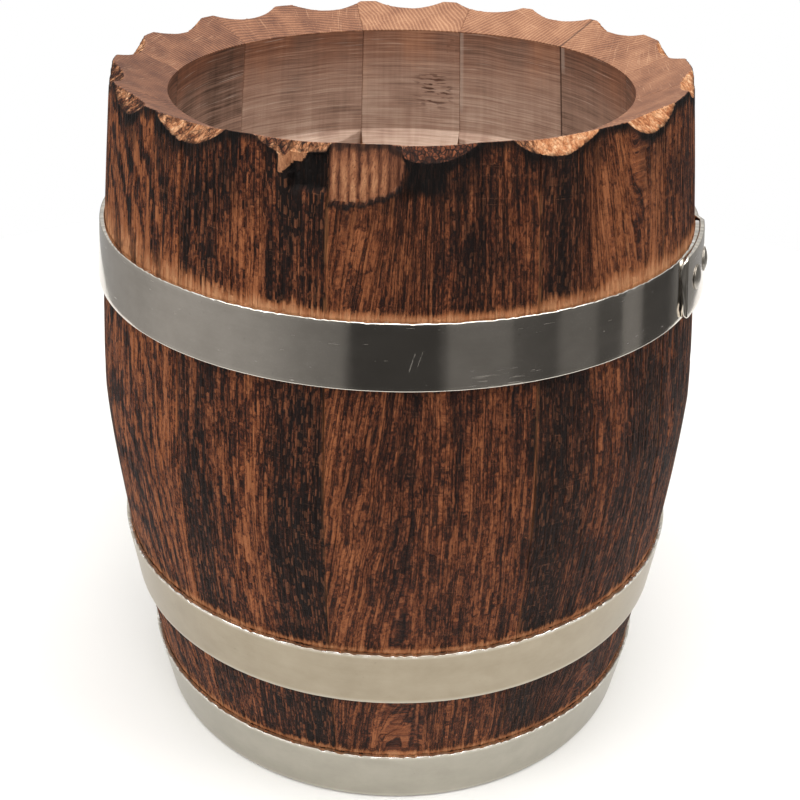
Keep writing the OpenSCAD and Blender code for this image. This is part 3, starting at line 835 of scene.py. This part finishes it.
def oak_end():
    n = Nodes("oak_end_grain")
    gc = n.attr("gc")
    ring = n.attr("ring", "Fac")
    _, _, shade = n.xyz(n.attr("mask"))
    _, _, wall = n.xyz(n.attr("tone"))
    warp = n.noise(n.scaled(gc, (0.05, 0.05, 1)), 2, 0.5)
    ph = n.add(n.mul(ring, 0.5), n.mul(n.sub(warp, 0.5), 3.0))
    wave = n.add(n.mul(n.math("SINE", n.mul(ph, 2 * math.pi)), 0.5), 0.5)
    rays = n.noise(n.scaled(gc, (1.7, 0.05, 1)), 3, 0.6)
    ray = n.step(rays, 0.6, 0.68)
    grit = n.noise(n.shift(n.scaled(gc, (1.8, 1.8, 1)), (5, 5, 0)), 3, 0.6)
    big = n.noise(n.shift(n.scaled(gc, (0.09, 0.07, 1)), (2, 7, 0)), 3, 0.55)
    v = n.add(n.mul(n.math("POWER", wave, 1.5), 0.19), n.mul(grit, 0.4))
    v = n.add(v, n.mul(n.sub(big, 0.5), 0.5))
    v = n.add(v, n.add(n.mul(wall, 0.6), 0.21))
    col = n.ramp(v, [(0.2, (80, 47, 34)), (0.42, (130, 85, 61)), (0.6, (162, 115, 85)), (0.85, (196, 150, 116))])
    col = n.mix(n.mul(ray, 0.35), col, (206, 162, 128))
    col = n.mix(n.mul(n.math("POWER", shade, 4.0), 0.8), col, (48, 28, 22))
    n.bump(n.add(n.mul(wave, 0.6), n.mul(grit, 0.6)), 0.35, 0.0004)
    return n.done(col, n.add(0.5, n.mul(grit, 0.25)), 0.0, 0.4)


def oak_wall(raw):
    n = Nodes("oak_inner_raw" if raw else "oak_inner_wall")
    gc = n.attr("gc")
    u, z, s = n.xyz(gc)
    smudge, strip, shade = n.xyz(n.attr("mask"))
    _, _, wall = n.xyz(n.attr("tone"))
    bow = n.add(z, n.mul(n.sub(n.noise(n.scaled(gc, (0.025, 0.01, 1)), 1, 0.5), 0.5), 4.0))
    lv = n.vec(n.mul(u, 0.022), n.mul(bow, 1.15), s)
    lines = n.noise(lv, 4, 0.7)
    scr = n.step(n.noise(n.shift(n.vec(n.mul(u, 0.03), n.mul(bow, 1.9), s), (4, 4, 0)), 2, 0.5), 0.62, 0.7)
    part = n.step(n.noise(n.shift(n.scaled(gc, (0.06, 0.1, 1)), (1, 5, 0)), 2, 0.5), 0.42, 0.62)
    grain_ = n.noise(n.scaled(gc, (0.5, 0.014, 1)), 4, 0.6)
    big = n.noise(n.shift(n.scaled(gc, (0.045, 0.03, 1)), (3, 3, 0)), 3, 0.55)
    slow = n.noise(n.shift(n.vec(n.mul(u, 0.014), n.mul(bow, 0.3), s), (7, 1, 0)), 3, 0.6)
    v = n.add(n.mul(n.sub(lines, 0.5), 0.85), n.mul(n.sub(slow, 0.5), 0.25))
    v = n.add(v, n.add(n.mul(grain_, 0.16), 0.27))
    v = n.add(v, n.mul(n.sub(big, 0.5), 0.75))
    v = n.add(v, n.add(n.mul(wall, 0.75), 0.22 if raw else 0.18))
    top = n.step(n.add(z, n.mul(n.sub(big, 0.5), 55.0)), 278, 326)
    low = n.ramp(v, [(0.15, (92, 70, 58)), (0.5, (182, 149, 130)), (0.85, (228, 202, 182))])
    high = n.ramp(v, [(0.15, (60, 37, 27)), (0.5, (134, 88, 65)), (0.85, (192, 142, 112))])
    col = n.mix(top, low, high)
    col = n.mix(n.mul(n.mul(scr, part), 0.35), col, (240, 222, 206))
    dash = n.step(n.noise(n.shift(n.vec(n.mul(u, 0.11), n.mul(bow, 0.55), s), (2, 6, 0)), 2, 0.6), 0.52, 0.6)
    col = n.mix(n.math("MULTIPLY", n.mul(smudge, dash), 0.9, 0.0, True), col, (78, 44, 30))
    col = n.mix(n.math("MULTIPLY", strip, 0.4, 0.0, True), col, (204, 186, 172))
    col = n.mix(n.mul(n.math("POWER", shade, 4.0), 0.9), col, (56, 38, 30))
    n.bump(n.add(lines, n.mul(grain_, 0.4)), 0.45, 0.0004)
    return n.done(col, n.add(0.55, n.mul(lines, 0.25)), 0.0, 0.35)


def oak_plain(name, pos_scale=1000.0):
    n = Nodes(name)
    gc = n.attr("gc")
    a = n.noise(n.scaled(gc, (0.5, 0.05, 0.5)), 4, 0.6)
    b = n.noise(n.scaled(gc, (2.0, 0.3, 2.0)), 3, 0.6)
    v = n.add(n.mul(a, 0.7), n.mul(b, 0.35))
    col = n.ramp(v, [(0.35, (104, 68, 48)), (0.55, (162, 116, 82)), (0.75, (200, 156, 116))])
    n.bump(n.add(a, b), 0.4, 0.0004)
    return n.done(col, n.add(0.55, n.mul(b, 0.3)), 0.0, 0.4)


def oak_board(name, along_x):
    """Head boards and dowels keep their CAD meshes; the pattern runs along the board."""
    n = Nodes(name)
    tc = n.nt.nodes.new("ShaderNodeTexCoord")
    o = n.scaled(tc.outputs["Object"], (1000, 1000, 1000))
    x, y, z = n.xyz(o)
    cell = n.math("FLOOR", n.mul(n.add(x, 21.5), 1 / 43.0)) if not along_x else 0.0
    long, cross = (x, y) if along_x else (y, x)
    off = n.mul(cell, 17.3) if not along_x else 2.0
    v0 = n.vec(n.mul(cross, 1.0), n.mul(long, 1.0), n.add(n.mul(z, 1.0), off))
    arch = n.noise(n.scaled(v0, (0.07, 0.008, 0.1)), 2, 0.5)
    wave = n.math("SINE", n.mul(arch, 60.0))
    fibre = n.noise(n.scaled(v0, (1.3, 0.04, 1.3)), 4, 0.6)
    pore = n.noise(n.scaled(v0, (2.6, 0.16, 2.6)), 2, 0.5)
    v = n.add(n.mul(n.add(n.mul(wave, 0.5), 0.5), 0.2), n.mul(fibre, 0.75))
    col = n.ramp(v, [(0.3, (126, 84, 58)), (0.5, (172, 126, 90)), (0.7, (204, 160, 120))])
    col = n.mix(n.mul(n.step(pore, 0.6, 0.7), 0.45), col, (96, 60, 40))
    n.bump(n.add(fibre, n.mul(pore, -0.5)), 0.4, 0.0004)
    return n.done(col, n.add(0.5, n.mul(fibre, 0.3)), 0.0, 0.4)


def steel(name, rough0, tint, dull, marks=False):
    n = Nodes(name)
    gc = n.attr("gc")
    edge, top, hgt = n.xyz(n.attr("mask"))
    rolled = n.noise(n.scaled(gc, (0.02, 3.0, 1)), 3, 0.55)
    cloud = n.noise(n.shift(n.scaled(gc, (0.06, 0.08, 1)), (3, 1, 0)), 4, 0.6)
    spots = n.noise(n.shift(n.scaled(gc, (0.5, 0.5, 1)), (1, 8, 0)), 3, 0.6)
    scr_w = n.noise(n.scaled(gc, (0.12, 1.4, 1)), 2, 0.5, 1.0, 0.6)
    scr = n.step(scr_w, 0.72, 0.76)
    hot = tuple(min(255, v + dull) for v in tint)
    cold = tuple(v - dull for v in tint)
    col = n.ramp(n.add(n.mul(cloud, 0.8), n.mul(rolled, 0.2)), [(0.36, cold), (0.5, tint), (0.66, hot)])
    col = n.mix(n.mul(n.step(spots, 0.66, 0.76), 0.3), col, tuple(int(v * 0.6) for v in tint))
    # painted highlight: the strip's top and bottom edges are pulled halfway to near-white, where they catch the light
    col = n.mix(n.mul(edge, 0.5), col, (238, 232, 220))
    if marks:
        # two slanting scratches at the front and a scuffed patch beside them
        u, z, _ = n.xyz(gc)
        for u0, z0, k, w, half in ((899.0, 251.0, 0.3, 0.3, 8.0), (901.4, 250.0, 0.33, 0.22, 5.0)):
            d = n.math("ABSOLUTE", n.sub(n.sub(u, u0), n.mul(n.sub(z, z0), k)))
            line = n.mul(n.step(d, w * 0.3, w, 1.0, 0.0), n.step(n.math("ABSOLUTE", n.sub(z, z0)), half - 3, half, 1.0, 0.0))
            scr = n.math("MAXIMUM", scr, n.mul(line, n.step(cloud, 0.4, 0.5)))
        scuff = n.step(n.noise(n.shift(n.scaled(gc, (0.06, 1.1, 1)), (0, 5, 0)), 2, 0.5, 1.0, 0.5), 0.6, 0.66)
        here = n.mul(n.step(n.math("ABSOLUTE", n.sub(u, 932.0)), 6, 16, 1.0, 0.0), n.step(z, 240, 250, 1.0, 0.0))
        scr = n.math("MAXIMUM", scr, n.mul(scuff, here))
        rough0 = n.add(rough0, n.mul(scr, 0.16))
    rough = n.add(rough0, n.add(n.mul(n.sub(cloud, 0.5), 0.08), n.mul(n.sub(rolled, 0.5), 0.08)))
    rough = n.add(rough, n.mul(scr, 0.12))
    # painted glints: near-white colour here and there along the hammered upper edge, which is also a little glossier
    # there
    glint = n.mul(n.step(top, 0.2, 0.8), n.step(n.noise(n.scaled(gc, (0.22, 0.6, 1)), 3, 0.6), 0.5, 0.6))
    if marks:
        glint = n.mul(glint, n.add(0.2, n.mul(n.step(u, 775, 805), 0.8)))
    col = n.mix(n.mul(glint, 0.85), col, (252, 250, 246))
    rough = n.sub(rough, n.mul(glint, 0.1))
    n.bump(n.add(n.mul(rolled, 0.15), n.add(n.mul(scr, -0.5), n.mul(cloud, 0.06))), 0.1, 0.0002)
    return n.done(col, rough, 1.0)


def rivet_metal():
    n = Nodes("rivet_steel_dulled")
    tc = n.nt.nodes.new("ShaderNodeTexCoord")
    a = n.noise(n.scaled(tc.outputs["Object"], (700, 700, 700)), 4, 0.6)
    b = n.noise(n.scaled(tc.outputs["Object"], (2600, 2600, 2600)), 2, 0.5)
    col = n.ramp(n.add(n.mul(a, 0.7), n.mul(b, 0.3)), [(0.35, (150, 144, 136)), (0.5, (186, 180, 171)), (0.7, (210, 204, 195))])
    n.bump(n.add(a, n.mul(b, 0.4)), 0.3, 0.0003)
    return n.done(col, n.add(0.22, n.mul(a, 0.3)), 1.0)


# ---------------------------------------------------------------- build
wood = [oak_outside(), oak_cut(), oak_end(), oak_wall(False), oak_wall(True), oak_plain("oak_unburnt"), oak_split()]
for i in range(12):
    ob = stave(i, 1.0 if i in (0, 1, 2, 11) else 1.25)
    for m in wood:
        ob.data.materials.append(m)

bright = steel("hoop_steel_bright", 0.1, (204, 196, 186), 6, True)
# painted light: the lower and base hoops use two copies of one satin steel, the base hoop's lighter, their tints set to
# match the light each hoop reflects
satin = steel("hoop_steel_satin", 0.32, (160, 149, 130), 6)
satin_lighter_copy = steel("hoop_steel_satin_lighter_copy", 0.32, (170, 165, 153), 6)
for name in HOOPS:
    ob = hoop(name)
    ob.data.materials.append({"upper_hoop": bright, "lower_hoop": satin, "base_hoop": satin_lighter_copy}[name])

rivet = rivet_metal()
board, dowel = oak_board("oak_head_board", False), oak_board("oak_dowel", True)
for name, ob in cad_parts.items():
    m = rivet if "rivets" in name else board if name.startswith("head_") and "dowels" not in name else dowel if "dowels" in name else None
    if m is not None:
        ob.data.materials.clear()
        ob.data.materials.append(m)

# ---------------------------------------------------------------- stage
def floor_mesh():
    """A round pale sheet, wider behind the barrel than in front."""
    n_r, n_a = 24, 120
    rr = np.linspace(0, 1, n_r + 1)[1:, None]
    aa = np.linspace(0, 2 * math.pi, n_a, endpoint=False)[None, :]
    X, Y = 0.64 * rr * np.cos(aa), 0.1 + 0.64 * rr * np.sin(aa)
    co = [(0.0, 0.1, 0.0)] + np.stack([X, Y, 0 * X], -1).reshape(-1, 3).tolist()
    faces = [(0, 1 + k, 1 + (k + 1) % n_a) for k in range(n_a)]
    for j in range(n_r - 1):
        for k in range(n_a):
            a, b = 1 + j * n_a + k, 1 + j * n_a + (k + 1) % n_a
            faces.append((a, a + n_a, b + n_a, b))
    mesh = bpy.data.meshes.new("floor")
    mesh.from_pydata(co, [], faces)
    mesh.update()
    return mesh


floor = bpy.data.objects.new("floor", floor_mesh())
bpy.context.scene.collection.objects.link(floor)
n = Nodes("floor_pale")
tc = n.nt.nodes.new("ShaderNodeTexCoord")
a = n.noise(n.scaled(tc.outputs["Object"], (4, 4, 4)), 3, 0.5)
floor.data.materials.append(n.done(n.ramp(a, [(0.3, (242, 241, 240)), (0.7, (246, 246, 245))]), 0.7, 0.0, 0.2))

scene = bpy.context.scene
scene.view_settings.view_transform = "Standard"
scene.view_settings.look = "None"
scene.view_settings.exposure = 0.0

world = bpy.data.worlds.new("studio")
scene.world = world
world.use_nodes = True
nt = world.node_tree
nt.nodes.clear()
out = nt.nodes.new("ShaderNodeOutputWorld")
tc = nt.nodes.new("ShaderNodeTexCoord")
sep = nt.nodes.new("ShaderNodeSeparateXYZ")
nt.links.new(tc.outputs["Generated"], sep.inputs[0])


def wmath(op, a, b=0.0):
    node = nt.nodes.new("ShaderNodeMath")
    node.operation = op
    for k, v in enumerate((a, b)):
        if isinstance(v, bpy.types.NodeSocket):
            nt.links.new(v, node.inputs[k])
        else:
            node.inputs[k].default_value = v
    return node.outputs[0]


# the room as the steel sees it: light from the left, dim in front, upright bands on the right
turn = wmath("ARCTAN2", sep.outputs["X"], wmath("MULTIPLY", sep.outputs["Y"], -1.0))
turn = wmath("ADD", wmath("MULTIPLY", turn, 0.5 / math.pi), 0.5)
room = nt.nodes.new("ShaderNodeValToRGB")
nt.links.new(turn, room.inputs[0])
stops = [(-180, 0.42), (-150, 0.42), (-138, 0.38), (-104, 0.4), (-90, 0.48), (-62, 0.42), (-46, 0.36), (-34, 0.26), (-19, 0.2), (-16, 0.06), (16, 0.06), (18, 0.19),
         (40, 0.18), (42, 0.11), (58, 0.09), (60, 0.17), (74, 0.17), (76, 0.1), (87, 0.1), (89, 0.24), (98, 0.24), (100, 0.08), (117, 0.07), (122, 0.16), (132, 0.28), (142, 0.36), (180, 0.42)]
ramp = room.color_ramp
while len(ramp.elements) > 1:
    ramp.elements.remove(ramp.elements[-1])
ramp.elements[0].position = 0.0
ramp.elements[0].color = (stops[0][1],) * 3 + (1,)
for deg, v in stops[1:]:
    e = ramp.elements.new(0.5 + deg / 360)
    e.color = (v, v, v, 1)
up = nt.nodes.new("ShaderNodeMapRange")
nt.links.new(sep.outputs["Z"], up.inputs["Value"])
up.inputs["From Min"].default_value = 0.1
up.inputs["From Max"].default_value = 0.75
up.inputs["To Min"].default_value = 0.0
up.inputs["To Max"].default_value = 0.62
bw = nt.nodes.new("ShaderNodeRGBToBW")
nt.links.new(room.outputs[0], bw.inputs[0])
total = wmath("ADD", bw.outputs[0], up.outputs[0])
bg = nt.nodes.new("ShaderNodeBackground")
bg.inputs["Color"].default_value = (1.0, 0.985, 0.96, 1)
nt.links.new(total, bg.inputs["Strength"])
white = nt.nodes.new("ShaderNodeBackground")
white.inputs["Color"].default_value = (1, 1, 1, 1)
white.inputs["Strength"].default_value = 1.0
lp = nt.nodes.new("ShaderNodeLightPath")
mix = nt.nodes.new("ShaderNodeMixShader")
nt.links.new(lp.outputs["Is Camera Ray"], mix.inputs[0])
nt.links.new(bg.outputs[0], mix.inputs[1])
nt.links.new(white.outputs[0], mix.inputs[2])
nt.links.new(mix.outputs[0], out.inputs["Surface"])


def area(name, loc, target, size, power, colour=(1, 0.985, 0.96)):
    data = bpy.data.lights.new(name, "AREA")
    data.shape = "RECTANGLE"
    data.size, data.size_y = size
    data.energy = power
    data.color = colour
    ob = bpy.data.objects.new(name, data)
    scene.collection.objects.link(ob)
    from mathutils import Vector

    d = Vector(target) - Vector(loc)
    ob.matrix_world = Matrix.Translation(loc) @ d.to_track_quat("-Z", "Y").to_matrix().to_4x4()
    return ob


area("overhead", (0.2, -0.3, 1.9), (0, 0, 0.2), (1.6, 1.4), 21)
area("left_box", (-1.5, -0.9, 1.5), (0, 0, 0.2), (0.9, 0.9), 10.5)
area("right_box", (1.5, -0.6, 1.5), (0, 0, 0.2), (0.8, 0.9), 7.5)
area("front_fill", (0.3, -1.6, 1.7), (0, 0, 0.2), (1.2, 0.8), 7.5)

cam_data = bpy.data.cameras.new("camera")
cam_data.sensor_width = 36
cam_data.lens = 54.74
cam = bpy.data.objects.new("camera", cam_data)
scene.collection.objects.link(cam)
cam.matrix_world = (
    Matrix.Translation((0.0016, -0.557, 0.4625))
    @ Matrix.Rotation(math.radians(60.93), 4, "X")
    @ Matrix.Rotation(math.radians(0.969), 4, "Z")
)
cam_data.clip_start, cam_data.clip_end = 0.01, 50
scene.camera = cam
